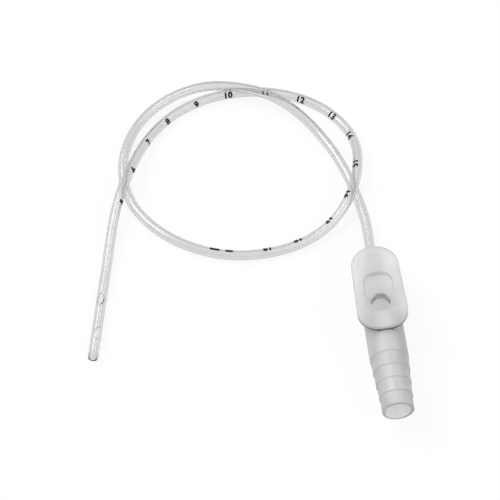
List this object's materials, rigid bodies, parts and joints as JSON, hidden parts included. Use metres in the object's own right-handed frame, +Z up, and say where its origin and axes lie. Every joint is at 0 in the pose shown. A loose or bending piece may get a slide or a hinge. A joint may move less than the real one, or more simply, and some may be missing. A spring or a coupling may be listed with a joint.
{
  "type": "suction catheter",
  "caption": "Clear soft tube with a rounded open tip and side eyes, bonded into a thumb-control connector with a stepped cone.",
  "frame": {"origin": "centre of the connector's box, on the table that the catheter lies on", "axes": "+Z up from the table; the connector lies along Y with its mouth towards -Y, and the tube lies towards +Y and -X"},
  "size_m": [0.0834, 0.1091, 0.0131],
  "materials": {
    "clear_tube": "clear soft plastic with a smooth surface",
    "milky_connector": "translucent milky moulded plastic"
  },
  "bodies": {
    "root": {"catheter_tube": "clear_tube", "thumb_control_connector": "milky_connector"}
  },
  "joints": []
}
